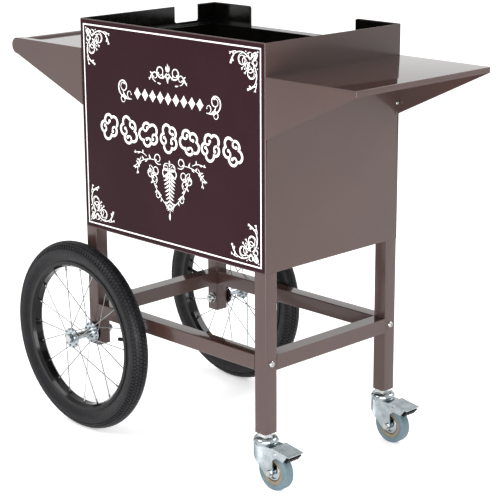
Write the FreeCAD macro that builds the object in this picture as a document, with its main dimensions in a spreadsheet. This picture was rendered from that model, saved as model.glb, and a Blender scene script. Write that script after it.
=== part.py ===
import FreeCAD, Part
import Sketcher
import math
import os
import re

# Popcorn cart: a sheet-steel cabinet on a tube frame, with two spoked wheels and two braked casters.
# Frame of the model: millimetres, +Z up, origin on the floor under the middle of the cabinet.
# +X points to the casters, -X to the push handle, -Y is the decorated front, +Y the operator's side.

Vector = FreeCAD.Vector
os.makedirs("parts", exist_ok=True)
document = FreeCAD.newDocument("popcorn_cart")

# ---------------------------------------------------------------- driving dimensions
DIMENSIONS = [
    ("cabinet_width", 520.0, "cabinet, outside, along X"),
    ("cabinet_depth", 368.0, "cabinet, outside, along Y"),
    ("base_height", 424.0, "underside of the cabinet above the floor"),
    ("rim_height", 850.5, "top rim of the cabinet above the floor"),
    ("ledge_height", 810.0, "top of the ledge that carries the machine"),
    ("ledge_width", 25.0, "width of that ledge"),
    ("ledge_skirt", 60.0, "downturned inner edge of that ledge"),
    ("sheet", 1.5, "sheet steel of the cabinet and shelves"),
    ("liner", 1.2, "sheet steel of the black well liner"),
    ("corner", 2.0, "outside radius of the sheet bends"),
    ("seam_flange", 18.0, "inward flange at the cabinet's rear edges"),
    ("floor_flange", 18.0, "upturned edge of the cabinet floor"),
    ("back_notch_width", 295.0, "notch in the top of the back panel"),
    ("cord_notch_front", 67.0, "front edge of the cord notch at the rim"),
    ("cord_notch_rear", 133.3, "rear edge of the cord notch at the rim"),
    ("cord_notch_base", 816.0, "bottom of the cord notch above the floor"),
    ("notch_round", 5.0, "rounded corners of both notches"),
    ("film", 0.25, "thickness of the front graphic film"),
    ("film_margin", 2.0, "bare edge around the film"),
    ("gap", 0.05, "running and assembly clearance, radial"),
    ("shelf_height", 790.6, "top face of both side shelves"),
    ("right_reach", 217.5, "right shelf, out from the cabinet"),
    ("left_reach", 213.0, "left shelf, cabinet to handle bar centre"),
    ("lip_height", 11.0, "turned-down lip of the right shelf"),
    ("cheek_height", 115.0, "height of a shelf cheek at the cabinet"),
    ("cheek_flange", 11.0, "mounting flange of a shelf cheek"),
    ("edge_flange", 15.0, "mounting flange under a shelf's inner edge"),
    ("tip_radius", 16.6, "rounded tip of a left shelf cheek"),
    ("bar_radius", 15.0, "push handle bar"),
    ("slot_margin", 15.0, "shelf strip left beside the hand slot"),
    ("slot_length", 68.0, "hand slot, handle bar centre to inner edge"),
    ("slot_round", 14.0, "inner corners of the hand slot"),
    ("tube", 30.0, "square tube of legs and rails"),
    ("tube_wall", 1.5, "wall of the square tube"),
    ("rail_height", 247.5, "centre line of the rails above the floor"),
    ("right_foot", 108.5, "bottom end of the right legs"),
    ("left_foot", 172.0, "bottom end of the left legs"),
    ("end_plate", 3.0, "plates welded into the tube ends"),
    ("door_width", 400.0, "rear door, outside"),
    ("door_base", 445.0, "lower edge of the rear door"),
    ("door_top", 775.0, "upper edge of the rear door"),
    ("door_lap", 10.0, "lap of the door over its opening"),
    ("door_stand", 12.0, "door face out from the back panel"),
    ("door_gap", 0.6, "air between door flange and back panel"),
    ("knob_inset", 22.0, "door edge to the knob's axis"),
    ("catch_width", 14.0, "door catch, along X"),
    ("catch_height", 40.0, "door catch, along Z"),
    ("knuckle", 3.4, "outside radius of a hinge knuckle"),
    ("hinge_pin", 1.5, "radius of a hinge pin"),
    ("hinge_length", 50.0, "length of a hinge"),
    ("hinge_leaf", 20.0, "reach of a fixed hinge leaf from the pin"),
    ("wheel_radius", 199.0, "spoked wheel, over the tyre"),
    ("wheel_offset", 34.0, "leg face to wheel mid-plane"),
    ("tyre_section", 20.0, "half width of the tyre"),
    ("tyre_wall", 3.5, "thickness of the tyre casing"),
    ("tube_rubber", 1.0, "thickness of the inner tube"),
    ("rim_edge", 158.5, "radius of the rim's edges"),
    ("rim_seat", 152.5, "radius of the tyre seat"),
    ("rim_inner", 146.0, "radius of the rim's inner face"),
    ("rim_width", 28.0, "rim, outside"),
    ("rim_metal", 1.4, "sheet of the rim"),
    ("spoke", 1.0, "radius of a spoke"),
    ("spokes_per_side", 10.0, "spokes on each hub flange"),
    ("flange_radius", 21.5, "hub flange"),
    ("flange_gap", 52.0, "distance between the hub flanges' middles"),
    ("flange_metal", 3.0, "thickness of a hub flange"),
    ("spoke_circle", 18.0, "radius of the spoke holes in a flange"),
    ("nipple_head", 3.4, "radius of a spoke nipple's head"),
    ("nipple", 1.9, "radius of a spoke nipple's sleeve"),
    ("valve", 4.1, "radius of the valve's rubber foot"),
    ("barrel", 8.0, "radius of the hub barrel"),
    ("cup", 11.5, "outside radius of a hub bearing cup"),
    ("cup_wall", 1.8, "wall of a hub bearing cup"),
    ("hub_half", 29.5, "half length of the hub"),
    ("bearing_width", 6.0, "width of a hub bearing"),
    ("axle", 5.0, "radius of the wheel axle bolt"),
    ("axle_spacer", 20.5, "radius of the spacer between a wheel hub and its leg"),
    ("caster_radius", 37.5, "caster wheel"),
    ("caster_width", 24.0, "caster wheel, widest part of its sides"),
    ("caster_trail", 27.0, "swivel axis to caster wheel axis"),
    ("caster_core", 26.5, "radius of the tan core under the tread"),
    ("caster_disc", 17.5, "radius of the zinc disc in the core"),
    ("fork_half", 18.0, "half width of the caster fork"),
    ("fork_metal", 2.2, "plate of the caster fork"),
    ("fork_nose", 20.5, "swivel axis to the rounded nose of the fork"),
    ("fork_tail", 47.0, "swivel axis to the end of the fork's ears"),
    ("fork_top", 87.5, "top of the fork plate above the floor"),
    ("crown_radius", 24.5, "caster swivel crown"),
    ("crown_top", 100.5, "top of the swivel crown above the floor"),
    ("stem", 5.0, "radius of the caster stem"),
    ("caster_axle", 3.0, "radius of the caster axle bolt"),
    ("pedal_metal", 1.5, "plate of the brake pedal"),
    ("pedal_pivot_reach", 43.0, "swivel axis to brake pedal pivot"),
    ("pedal_pivot_height", 80.0, "brake pedal pivot above the floor"),
    ("pedal_pin", 2.0, "radius of the pedal pin"),
    ("pedal_heel", 34.0, "swivel axis to the pedal plate's near end"),
    ("pedal_toe", 80.0, "swivel axis to the pedal plate's far end"),
    ("pedal_heel_height", 89.0, "pedal plate's underside at its near end"),
    ("pedal_toe_height", 82.0, "pedal plate's underside at its far end"),
    ("pedal_air", 0.3, "air between fork and pedal"),
    ("machine_screw", 2.0, "radius of the M4 screws"),
    ("screw_head", 3.8, "radius of an M4 screw's head"),
    ("screw_rise", 2.4, "height of an M4 screw's head"),
    ("rail_bolt", 3.0, "radius of the M6 rail bolts"),
    ("leg_bolt", 4.0, "radius of the M8 leg bolts"),
]
ALIASES = {alias for alias, value, meaning in DIMENSIONS}

sheet = document.addObject("Spreadsheet::Sheet", "Dims")
for row, (alias, value, meaning) in enumerate(DIMENSIONS, 1):
    sheet.set(f"A{row}", meaning)
    sheet.set(f"B{row}", str(value))
    sheet.setAlias(f"B{row}", alias)
document.recompute()

WORD = re.compile(r"[a-z][a-z_]*")
UP = Vector(0, 0, 1)
ORIGIN = Vector()
nodes = []


# ---------------------------------------------------------------- helpers
def formula(text):
    """Turn plain dimension names into references to the sheet's cells."""
    def refer(word):
        return "Dims." + word.group() if word.group() in ALIASES else word.group()

    return WORD.sub(refer, str(text))


def size(text):
    """Value of a formula, in millimetres."""
    return float(sheet.evalExpression(formula(text)))


def body(name):
    """New node made of sketches and features."""
    piece = document.addObject("PartDesign::Body", name)
    piece.Label = name
    nodes.append(piece)
    return piece


def node(shape_object, name):
    """Declare a finished primitive or boolean as a node."""
    shape_object.Label = name
    nodes.append(shape_object)
    return shape_object


def place(piece, x="0", y="0", z="0", turn=0.0):
    """Put a piece's own origin at a place, turned about the vertical."""
    piece.Placement.Rotation = FreeCAD.Rotation(UP, turn)
    for axis, text in zip("xyz", (x, y, z)):
        piece.setExpression(f"Placement.Base.{axis}", formula(text))
    return piece


def origin_plane(piece, role):
    return next(plane for plane in piece.Origin.OriginFeatures if plane.Role == role)


def sketch(piece, role, name, lift="0"):
    """Sketch on one of the body's own planes, lifted along the plane's normal."""
    drawing = piece.newObject("Sketcher::SketchObject", name)
    drawing.AttachmentSupport = [(origin_plane(piece, role), "")]
    drawing.MapMode = "FlatFace"
    drawing.setExpression("AttachmentOffset.Base.z", formula(lift))
    return drawing


def pin_point(drawing, geometry, end, spot):
    """Tie a point of the sketch to a pair of formulas."""
    for kind, text in zip(("DistanceX", "DistanceY"), spot):
        number = drawing.addConstraint(Sketcher.Constraint(kind, -1, 1, geometry, end, size(text)))
        drawing.setExpression(f"Constraints[{number}]", formula(text))


def outline(drawing, corners):
    """Closed straight-sided outline, each corner a pair of formulas."""
    first = drawing.GeometryCount
    count = len(corners)
    points = [Vector(size(across), size(up), 0) for across, up in corners]
    for index in range(count):
        drawing.addGeometry(Part.LineSegment(points[index], points[(index + 1) % count]), False)
    for index in range(count):
        following = first + (index + 1) % count
        drawing.addConstraint(Sketcher.Constraint("Coincident", first + index, 2, following, 1))
        pin_point(drawing, first + index, 1, corners[index])
    return drawing


def rectangle(drawing, low, high):
    return outline(drawing, [(low[0], low[1]), (high[0], low[1]), (high[0], high[1]), (low[0], high[1])])


def circle(drawing, centre, radius):
    centre_point = Vector(size(centre[0]), size(centre[1]), 0)
    ring = drawing.addGeometry(Part.Circle(centre_point, UP, size(radius)), False)
    pin_point(drawing, ring, 3, centre)
    rule = drawing.addConstraint(Sketcher.Constraint("Radius", ring, size(radius)))
    drawing.setExpression(f"Constraints[{rule}]", formula(radius))
    return drawing


def pad(piece, drawing, length, both=False, reverse=False):
    step = piece.newObject("PartDesign::Pad", drawing.Name + "_pad")
    step.Profile = drawing
    step.SideType = "Symmetric" if both else "One side"
    step.Reversed = reverse
    step.setExpression("Length", formula(length))
    piece.Tip = step
    return step


def pocket(piece, drawing, length):
    """Cut equally to both sides of the sketch plane, and make sure that it removed metal."""
    document.recompute()
    before = piece.Shape.Volume
    step = piece.newObject("PartDesign::Pocket", drawing.Name + "_pocket")
    step.Profile = drawing
    step.SideType = "Symmetric"
    step.setExpression("Length", formula(length))
    piece.Tip = step
    document.recompute()
    if piece.Shape.Volume >= before:
        raise RuntimeError(f"{step.Name} cut nothing")
    return step


def revolve(piece, drawing):
    """Turn a profile about its sketch's vertical axis."""
    step = piece.newObject("PartDesign::Revolution", drawing.Name + "_turned")
    step.Profile = drawing
    step.ReferenceAxis = (drawing, ["V_Axis"])
    step.Angle = 360.0
    piece.Tip = step
    return step


def mirror(piece, steps, role):
    step = piece.newObject("PartDesign::Mirrored", steps[0].Name + "_mirrored")
    step.Originals = steps
    step.MirrorPlane = (origin_plane(piece, role), [""])
    piece.Tip = step
    return step


def ring_pattern(piece, steps, role, count):
    """Repeat features evenly round one of the body's own axes."""
    step = piece.newObject("PartDesign::PolarPattern", steps[0].Name + "_pattern")
    step.Originals = steps
    step.Axis = (origin_plane(piece, role), [""])
    step.Angle = 360.0
    step.setExpression("Occurrences", formula(count))
    piece.Tip = step
    return step


def round_edges(piece, radius, wanted):
    """Fillet the edges of the body so far for which wanted(middle, direction) holds."""
    document.recompute()
    names = []
    for index, edge in enumerate(piece.Tip.Shape.Edges, 1):
        middle = edge.valueAt((edge.FirstParameter + edge.LastParameter) / 2)
        direction = edge.tangentAt(edge.FirstParameter)
        if wanted(middle, direction):
            names.append(f"Edge{index}")
    step = piece.newObject("PartDesign::Fillet", f"{piece.Name}_round_{len(piece.Group)}")
    step.Base = (step.BaseFeature or piece.Tip, names)
    step.setExpression("Radius", formula(radius))
    piece.Tip = step
    return step


def near(value, text):
    return abs(value - size(text)) < 0.01


def solid_of_revolution(profile):
    """Solid turned about the vertical through the origin from (radius, height) pairs in millimetres."""
    points = [Vector(radius, 0, height) for radius, height in profile]
    face = Part.Face(Part.makePolygon(points + points[:1]))
    return face.revolve(ORIGIN, UP, 360)


def hexagon(across_flats, height, bore=0.0):
    """Hexagonal prism standing on the origin, with its top corners turned off."""
    radius = across_flats / math.sqrt(3)
    corners = [Vector(radius * math.cos(turn), radius * math.sin(turn), 0)
               for turn in (math.radians(60 * step) for step in range(7))]
    prism = Part.Face(Part.makePolygon(corners)).extrude(Vector(0, 0, height))
    chamfer = (radius - across_flats / 2) * 0.6
    crown = solid_of_revolution([(0, 0), (radius, 0), (radius, height - chamfer),
                                 (across_flats / 2, height), (0, height)])
    prism = prism.common(crown)
    if bore:
        prism = prism.cut(Part.makeCylinder(bore, height))
    return prism


def group(name, shapes):
    """Node that holds identical separate solids."""
    piece = document.addObject("Part::Feature", name)
    piece.Shape = Part.makeCompound(shapes)
    piece.Label = name
    nodes.append(piece)
    return piece


def moved(shape, spot, axis=UP):
    """Copy of a shape with its own +Z turned to an axis and its origin at a spot."""
    copy = shape.copy()
    copy.Placement = FreeCAD.Placement(Vector(*spot), FreeCAD.Rotation(UP, axis)) * copy.Placement
    return copy


HALF_WIDTH = "cabinet_width / 2"
HALF_DEPTH = "cabinet_depth / 2"
LEG_X = f"({HALF_WIDTH} - tube / 2)"
LEG_Y = f"({HALF_DEPTH} - tube / 2)"


def shelf_screw_spots():
    """Screws of one shelf on the cabinet's side, as (y, z) formulas."""
    cheek = (f"{HALF_DEPTH} - cheek_flange / 2 - sheet", "shelf_height - cheek_height + 2 * cheek_flange")
    edge = (f"{HALF_DEPTH} / 2", "shelf_height - edge_flange / 2")
    return [(f"{sign}({across})", level) for across, level in (cheek, edge) for sign in ("", "-")]


# ---------------------------------------------------------------- cabinet
def cabinet_shell():
    """Front and both sides folded from one sheet, with inward seams at the rear edges."""
    piece = body("cabinet_shell")
    rear = "cabinet_depth / 2 - sheet"
    inner_rear = "cabinet_depth / 2 - 2 * sheet"
    right = [(HALF_WIDTH, rear), (f"{HALF_WIDTH} - seam_flange", rear),
             (f"{HALF_WIDTH} - seam_flange", inner_rear), (f"{HALF_WIDTH} - sheet", inner_rear),
             (f"{HALF_WIDTH} - sheet", f"-({rear})")]
    left = [(f"-({across})", along) for across, along in reversed(right)]
    front = [(f"-{HALF_WIDTH}", f"-{HALF_DEPTH}"), (HALF_WIDTH, f"-{HALF_DEPTH}")]
    plan = sketch(piece, "XY_Plane", "shell_plan", "base_height")
    outline(plan, right + left + front)
    pad(piece, plan, "rim_height - base_height")
    round_edges(piece, "corner", lambda middle, along: abs(along.z) > 0.9
                and near(abs(middle.x), HALF_WIDTH) and near(-middle.y, HALF_DEPTH))
    notch = sketch(piece, "YZ_Plane", "cord_notch", f"-({HALF_WIDTH})")
    rectangle(notch, ("cord_notch_front", "cord_notch_base"), ("cord_notch_rear", "rim_height"))
    pocket(piece, notch, "4 * sheet")
    round_edges(piece, "notch_round", lambda middle, along: abs(along.x) > 0.9
                and near(middle.z, "cord_notch_base"))
    holes = sketch(piece, "YZ_Plane", "shell_shelf_holes")
    for spot in shelf_screw_spots():
        circle(holes, spot, "machine_screw + gap")
    pocket(piece, holes, "cabinet_width + 2 * sheet")
    seam = sketch(piece, "XZ_Plane", "shell_seam_holes", f"-({rear})")
    for spot in seam_spots():
        circle(seam, spot, "machine_screw + gap")
    pocket(piece, seam, "4 * sheet")


def seam_spots():
    """Screws along both rear seams, as (x, z) formulas."""
    levels = ("base_height + 40", "(base_height + ledge_height) / 2", "ledge_height - 40")
    across = f"({HALF_WIDTH} - seam_flange / 2)"
    return [(side + across, level) for side in ("", "-") for level in levels]


def back_panel():
    """Flat rear sheet with the machine notch above and the door opening below."""
    piece = body("back_panel")
    face = sketch(piece, "XZ_Plane", "back_face", f"-({HALF_DEPTH})")
    notch = "back_notch_width / 2"
    outline(face, [(f"-{HALF_WIDTH}", "base_height"), (HALF_WIDTH, "base_height"),
                   (HALF_WIDTH, "rim_height"), (notch, "rim_height"), (notch, "ledge_height"),
                   (f"-{notch}", "ledge_height"), (f"-{notch}", "rim_height"),
                   (f"-{HALF_WIDTH}", "rim_height")])
    opening = "door_width / 2 - door_lap"
    rectangle(face, (f"-({opening})", "door_base + door_lap"), (opening, "door_top - door_lap"))
    for spot in seam_spots():
        circle(face, spot, "machine_screw + gap")
    pad(piece, face, "sheet")
    round_edges(piece, "notch_round", lambda middle, along: abs(along.y) > 0.9
                and near(abs(middle.x), notch) and near(middle.z, "rim_height"))


def cabinet_floor():
    """Floor tray with upturned edges, bolted down to the four leg tops."""
    piece = body("cabinet_floor")
    across = f"{HALF_WIDTH} - sheet - gap"
    front = f"-({HALF_DEPTH} - sheet - gap)"
    rear = f"{HALF_DEPTH} - 2 * sheet - gap"
    plate = sketch(piece, "XY_Plane", "floor_plate", "base_height")
    rectangle(plate, (f"-({across})", front), (across, rear))
    for side in ("", "-"):
        for sign in ("", "-"):
            circle(plate, (side + LEG_X, sign + LEG_Y), "leg_bolt + gap")
    pad(piece, plate, "sheet")
    edge = sketch(piece, "XY_Plane", "floor_edge", "base_height")
    rectangle(edge, (f"-({across})", front), (across, rear))
    rectangle(edge, (f"-({across} - sheet)", f"{front} + sheet"), (f"{across} - sheet", f"{rear} - sheet"))
    pad(piece, edge, "floor_flange")


def well_ledge():
    """Black liner of the well: an upstand inside the rim and the ledge that carries the machine."""
    piece = body("well_ledge")
    across = f"{HALF_WIDTH} - sheet - gap"
    front = f"-({HALF_DEPTH} - sheet - gap)"
    rear = f"{HALF_DEPTH} - 2 * sheet - gap"

    def ring(name, level, inset):
        drawing = sketch(piece, "XY_Plane", name, level)
        rectangle(drawing, (f"-({across})", front), (across, rear))
        rectangle(drawing, (f"-({across} - {inset})", f"{front} + {inset}"),
                  (f"{across} - {inset}", f"{rear} - {inset}"))
        return drawing

    pad(piece, ring("ledge_ring", "ledge_height - liner", "ledge_width"), "liner")
    pad(piece, ring("upstand_ring", "ledge_height - liner", "liner"), "rim_height - ledge_height")
    lip = sketch(piece, "XY_Plane", "ledge_lip", "ledge_height - ledge_skirt")
    for inset in ("ledge_width - liner", "ledge_width"):
        rectangle(lip, (f"-({across} - ({inset}))", f"{front} + {inset}"),
                  (f"{across} - ({inset})", f"{rear} - ({inset})"))
    pad(piece, lip, "ledge_skirt")
    back = sketch(piece, "XZ_Plane", "liner_back_notch", f"-({rear})")
    notch = "back_notch_width / 2"
    rectangle(back, (f"-{notch}", "ledge_height"), (notch, "rim_height"))
    pocket(piece, back, "4 * liner")
    cord = sketch(piece, "YZ_Plane", "liner_cord_notch", f"-({across})")
    rectangle(cord, ("cord_notch_front", "cord_notch_base"), ("cord_notch_rear", "rim_height"))
    pocket(piece, cord, "4 * liner")
    round_edges(piece, "notch_round", lambda middle, along: abs(along.x) > 0.9
                and near(middle.z, "cord_notch_base"))


def front_graphic():
    """Printed film on the front sheet."""
    piece = body("front_graphic")
    face = sketch(piece, "XZ_Plane", "film_face", HALF_DEPTH)
    rectangle(face, (f"-({HALF_WIDTH} - film_margin)", "base_height + film_margin"),
              (f"{HALF_WIDTH} - film_margin", "rim_height - film_margin"))
    pad(piece, face, "film")
    round_edges(piece, "corner", lambda middle, along: abs(along.y) > 0.9)


# ---------------------------------------------------------------- shelves
def shelf_flanges(piece, tag, side):
    """Flanges that lie on the cabinet's side: one on each cheek and one under the shelf's edge."""
    wall = f"{side}({HALF_WIDTH})"
    outward = side == ""
    flange = sketch(piece, "YZ_Plane", f"{tag}_cheek_flange", wall)
    rectangle(flange, (f"{HALF_DEPTH} - cheek_flange", "shelf_height - cheek_height"),
              (HALF_DEPTH, "shelf_height"))
    rear = pad(piece, flange, "sheet", reverse=not outward)
    mirror(piece, [rear], "XZ_Plane")
    hem = sketch(piece, "YZ_Plane", f"{tag}_edge_flange", wall)
    rectangle(hem, (f"-({HALF_DEPTH} - sheet)", "shelf_height - edge_flange"),
              (f"{HALF_DEPTH} - sheet", "shelf_height"))
    pad(piece, hem, "sheet", reverse=not outward)
    holes = sketch(piece, "YZ_Plane", f"{tag}_holes", wall)
    for spot in shelf_screw_spots():
        circle(holes, spot, "machine_screw + gap")
    pocket(piece, holes, "4 * sheet")


def right_shelf():
    """Folded work shelf over the casters, with a lip and two tapering cheeks."""
    piece = body("right_shelf")
    end = f"{HALF_WIDTH} + right_reach"
    top = sketch(piece, "XY_Plane", "right_top", "shelf_height - sheet")
    rectangle(top, (HALF_WIDTH, f"-({HALF_DEPTH})"), (end, HALF_DEPTH))
    pad(piece, top, "sheet")
    lip = sketch(piece, "XZ_Plane", "right_lip")
    rectangle(lip, (f"{end} - sheet", "shelf_height - lip_height"), (end, "shelf_height"))
    pad(piece, lip, "cabinet_depth", both=True)
    cheek = sketch(piece, "XZ_Plane", "right_cheek", f"-({HALF_DEPTH})")
    outline(cheek, [(HALF_WIDTH, "shelf_height - cheek_height"), (end, "shelf_height - lip_height"),
                    (end, "shelf_height"), (HALF_WIDTH, "shelf_height")])
    rear = pad(piece, cheek, "sheet")
    mirror(piece, [rear], "XZ_Plane")
    shelf_flanges(piece, "right", "")

    def bent(middle, along):
        """The bends round the top face, clear of the wall, and the two corners of the lip."""
        on_side = near(abs(middle.y), HALF_DEPTH)
        on_end = near(middle.x, end)
        on_top = near(middle.z, "shelf_height") and middle.x > size(f"{HALF_WIDTH} + 2 * sheet")
        return (on_side and on_end) or (on_top and (on_side or on_end))

    round_edges(piece, "0.8 * sheet", bent)


def left_shelf():
    """Folded shelf with round-tipped cheeks and a hand slot in front of the push bar."""
    piece = body("left_shelf")
    tip = f"-({HALF_WIDTH} + left_reach)"
    top = sketch(piece, "XY_Plane", "left_top", "shelf_height - sheet")
    slot_edge = f"{tip} + slot_length"
    strip = f"{HALF_DEPTH} - slot_margin"
    outline(top, [(f"-{HALF_WIDTH}", f"-({HALF_DEPTH})"), (f"-{HALF_WIDTH}", HALF_DEPTH),
                  (tip, HALF_DEPTH), (tip, strip), (slot_edge, strip), (slot_edge, f"-({strip})"),
                  (tip, f"-({strip})"), (tip, f"-({HALF_DEPTH})")])
    pad(piece, top, "sheet")
    round_edges(piece, "slot_round", lambda middle, along: abs(along.z) > 0.9 and near(middle.x, slot_edge))
    cheek = sketch(piece, "XZ_Plane", "left_cheek", f"-({HALF_DEPTH})")
    outline(cheek, [(f"-{HALF_WIDTH}", "shelf_height - cheek_height"),
                    (f"-{HALF_WIDTH}", "shelf_height"), (tip, "shelf_height"),
                    (tip, "shelf_height - 2 * tip_radius")])
    rear = pad(piece, cheek, "sheet")
    round_tip = sketch(piece, "XZ_Plane", "left_cheek_tip", f"-({HALF_DEPTH})")
    circle(round_tip, (tip, "shelf_height - tip_radius"), "tip_radius")
    rear_tip = pad(piece, round_tip, "sheet")
    mirror(piece, [rear, rear_tip], "XZ_Plane")
    shelf_flanges(piece, "left", "-")


def handle_bar():
    """Push bar, a round tube welded between the tips of the left shelf's cheeks."""
    piece = body("handle_bar")
    ring = sketch(piece, "XZ_Plane", "bar_ring")
    centre = (f"-({HALF_WIDTH} + left_reach)", "shelf_height - tip_radius")
    circle(ring, centre, "bar_radius")
    circle(ring, centre, "bar_radius - sheet")
    pad(piece, ring, "cabinet_depth - 2 * sheet", both=True)


# ---------------------------------------------------------------- frame
def square_tube(piece, role, name, lift, centre, length, both=False):
    """Square tube, drawn as its cross-section."""
    ring = sketch(piece, role, name, lift)
    for half in ("tube / 2", TUBE_INSIDE):
        low = (f"{centre[0]} - {half}", f"{centre[1]} - {half}")
        high = (f"{centre[0]} + {half}", f"{centre[1]} + {half}")
        rectangle(ring, low, high)
    return pad(piece, ring, length, both=both)


TUBE_INSIDE = "(tube / 2 - tube_wall)"


def leg_frame(name, side, foot, foot_bolt):
    """Two legs and the side rail between them, welded into one H-shaped frame."""
    piece = body(name)
    leg_x = side + LEG_X
    leg_spots = {"rear": (leg_x, LEG_Y), "front": (leg_x, f"-{LEG_Y}")}
    for tag, spot in leg_spots.items():
        square_tube(piece, "XY_Plane", f"{name}_{tag}_leg", foot, spot, f"base_height - {foot}")
    round_edges(piece, "corner", lambda middle, along: abs(along.z) > 0.9
                and near(abs(abs(middle.x) - size(LEG_X)), "tube / 2")
                and near(abs(abs(middle.y) - size(LEG_Y)), "tube / 2"))
    square_tube(piece, "XZ_Plane", f"{name}_rail", "0", (leg_x, "rail_height"),
                "cabinet_depth - 2 * tube", both=True)
    ends = {"top": ("base_height - end_plate", "leg_bolt + gap"), "foot": (foot, foot_bolt)}
    for end, (level, hole) in ends.items():
        for tag, spot in leg_spots.items():
            plate = sketch(piece, "XY_Plane", f"{name}_{tag}_{end}_plate", level)
            rectangle(plate, tuple(f"{middle} - {TUBE_INSIDE}" for middle in spot),
                      tuple(f"{middle} + {TUBE_INSIDE}" for middle in spot))
            circle(plate, spot, hole)
            pad(piece, plate, "end_plate")
    bolts = sketch(piece, "YZ_Plane", f"{name}_rail_bolt_holes", leg_x)
    for sign in ("", "-"):
        circle(bolts, (sign + LEG_Y, "rail_height"), "rail_bolt + gap")
    pocket(piece, bolts, "tube + 2")
    return piece


def left_leg_frame():
    """The shorter H-frame, with the axle holes near the legs' lower ends."""
    piece = leg_frame("left_leg_frame", "-", "left_foot", "leg_bolt")
    axles = sketch(piece, "XZ_Plane", "axle_holes")
    circle(axles, (f"-{LEG_X}", "wheel_radius"), "axle + gap")
    pocket(piece, axles, "cabinet_depth + 2")


def cross_rail(name, side):
    """Rail along the cart, closed at its ends by threaded plates for the rail bolts."""
    piece = body(name)
    centre = (side + LEG_Y, "rail_height")
    length = "(cabinet_width - 2 * tube)"
    square_tube(piece, "YZ_Plane", f"{name}_section", "0", centre, length, both=True)
    round_edges(piece, "corner", lambda middle, along: abs(along.x) > 0.9
                and near(abs(middle.z - size("rail_height")), "tube / 2"))
    plate = sketch(piece, "YZ_Plane", f"{name}_end", f"{length} / 2 - 2 * end_plate")
    rectangle(plate, tuple(f"{middle} - {TUBE_INSIDE}" for middle in centre),
              tuple(f"{middle} + {TUBE_INSIDE}" for middle in centre))
    circle(plate, centre, "rail_bolt + gap")
    end = pad(piece, plate, "2 * end_plate")
    mirror(piece, [end], "YZ_Plane")


# ---------------------------------------------------------------- rear door
HINGE_X = "-(door_width / 2 + knuckle + 1)"
HINGE_Y = "cabinet_depth / 2 + door_stand / 2"


def door_panel():
    """Pan-shaped door over the opening in the back panel."""
    piece = body("door_panel")
    half = "door_width / 2"
    face = sketch(piece, "XZ_Plane", "door_face", f"-({HALF_DEPTH} + door_stand)")
    rectangle(face, (f"-{half}", "door_base"), (half, "door_top"))
    circle(face, (f"{half} - knob_inset", "(door_base + door_top) / 2"), "machine_screw + gap")
    pad(piece, face, "sheet")
    edge = sketch(piece, "XZ_Plane", "door_edge", f"-({HALF_DEPTH} + door_stand)")
    rectangle(edge, (f"-{half}", "door_base"), (half, "door_top"))
    rectangle(edge, (f"-({half} - sheet)", "door_base + sheet"), (f"{half} - sheet", "door_top - sheet"))
    pad(piece, edge, "door_stand - door_gap")

    def rim_edge(middle, along):
        on_rim = near(abs(middle.x), half) or near(middle.z, "door_base") or near(middle.z, "door_top")
        return on_rim and near(middle.y, f"{HALF_DEPTH} + door_stand")

    round_edges(piece, "0.8 * sheet", rim_edge)


def door_knob():
    """Turned pull knob with its threaded shank through the door."""
    piece = body("door_knob")
    profile = sketch(piece, "XY_Plane", "knob_profile")
    shank = [("0", "-8"), ("machine_screw", "-8"), ("machine_screw", "0")]
    grip = [("7", "0"), ("6", "8"), ("11", "14"), ("12", "19"), ("9", "23"), ("0", "24")]
    outline(profile, shank + grip)
    revolve(piece, profile)
    place(piece, "door_width / 2 - knob_inset", f"{HALF_DEPTH} + door_stand", "(door_base + door_top) / 2")


def hinge_levels():
    """Lower ends of the two hinges."""
    return [size("door_base + 35"), size("door_top - 35 - hinge_length")]


def knuckle_spans(fixed):
    """Lower and upper ends of a leaf's knuckles: outer pair on the fixed leaf, middle one on the door's."""
    third = size("hinge_length") / 3
    air = size("door_gap") / 2
    return [(0.0, third - air), (2 * third + air, 3 * third)] if fixed else [(third, 2 * third)]


def fixed_web(low, height):
    """Strip from a knuckle back to the panel, with the strip of leaf beneath the knuckle."""
    metal, wall = size("liner"), size(HALF_DEPTH)
    axis_x, reach = size(HINGE_X), size("hinge_leaf")
    web = Part.makeBox(metal, size("door_stand / 2"), height, Vector(axis_x - size("knuckle"), wall, low))
    return web.fuse(Part.makeBox(reach, metal, height, Vector(axis_x - reach, wall, low)))


def door_web(low, height):
    """Strip from the middle knuckle to the door's edge, with a narrow leaf along that edge."""
    metal, wall = size("liner"), size(HALF_DEPTH)
    axis_x, axis_y = size(HINGE_X), size(HINGE_Y)
    door_edge = -size("door_width / 2")
    web = Part.makeBox(door_edge - axis_x, metal, height, Vector(axis_x, axis_y - metal / 2, low))
    margin = size("sheet")
    return web.fuse(Part.makeBox(metal / 2, size("door_stand") - 2 * margin, height,
                                 Vector(door_edge - metal / 2, wall + margin, low)))


def hinge_leaves(name, fixed):
    """Pair of hinge leaves with their knuckles, on the back panel or on the door's edge."""
    axis_x, axis_y = size(HINGE_X), size(HINGE_Y)
    leaves = []
    for level in hinge_levels():
        solids = []
        for low, high in knuckle_spans(fixed):
            spot, height = Vector(axis_x, axis_y, level + low), high - low
            web = fixed_web(spot.z, height) if fixed else door_web(spot.z, height)
            knuckle = web.fuse(Part.makeCylinder(size("knuckle"), height, spot))
            solids.append(knuckle.cut(Part.makeCylinder(size("hinge_pin + gap"), height, spot)))
        if fixed:
            plate_reach = size("hinge_leaf - knuckle")
            solids.append(Part.makeBox(plate_reach, size("liner"), size("hinge_length"),
                                       Vector(axis_x - size("hinge_leaf"), size(HALF_DEPTH), level)))
        leaves.append(solids[0].multiFuse(solids[1:]).removeSplitter())
    group(name, leaves)


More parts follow.
